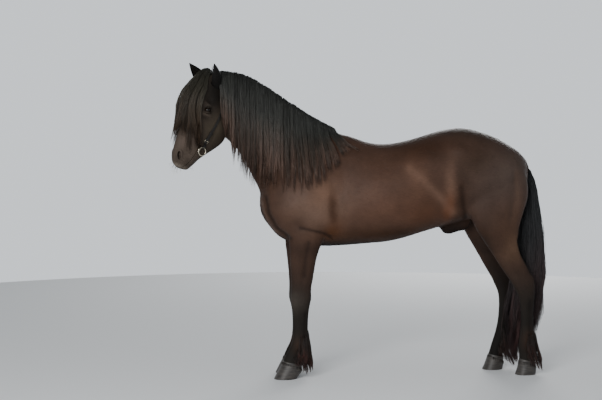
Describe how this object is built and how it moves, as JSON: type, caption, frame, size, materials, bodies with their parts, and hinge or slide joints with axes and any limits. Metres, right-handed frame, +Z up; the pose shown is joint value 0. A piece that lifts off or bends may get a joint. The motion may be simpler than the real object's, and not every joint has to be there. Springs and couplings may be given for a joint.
{
  "type": "horse",
  "caption": "Life-size still model of a standing Icelandic horse with a turned head, long mane, forelock and tail, feathered fetlocks and a plain snaffle headstall.",
  "frame": {"origin": "on the floor under the middle of the bounding box", "axes": "+X from head to tail, so the horse faces -X; +Y to the horse's right; +Z up from the soles"},
  "size_m": [2.2186, 0.556, 1.8278],
  "materials": {
    "coat": "short glossy brown-black summer coat",
    "long_hair": "long straight black hair with a satin sheen",
    "horn": "satin dark grey horn",
    "eye": "wet gloss, dark brown",
    "leather": "smooth satin black",
    "steel": "polished stainless steel"
  },
  "bodies": {
    "root": {"torso": "coat", "neck": "coat", "head": "coat", "forearm_left": "coat", "fore_cannon_left": "coat", "fore_pastern_left": "coat", "fore_hoof_left": "horn", "hind_leg_left": "coat", "hind_cannon_left": "coat", "hind_pastern_left": "coat", "hind_hoof_left": "horn", "forearm_right": "coat", "fore_cannon_right": "coat", "fore_pastern_right": "coat", "fore_hoof_right": "horn", "hind_leg_right": "coat", "hind_cannon_right": "coat", "hind_pastern_right": "coat", "hind_hoof_right": "horn", "ear_left": "coat", "ear_right": "coat", "eye_left": "eye", "eye_right": "eye", "tail": "long_hair", "bit_mouthpiece": "steel", "bit_ring_left": "steel", "bit_ring_right": "steel", "cheek_strap_left": "leather", "cheek_strap_right": "leather", "crown_strap": "leather"}
  },
  "joints": []
}
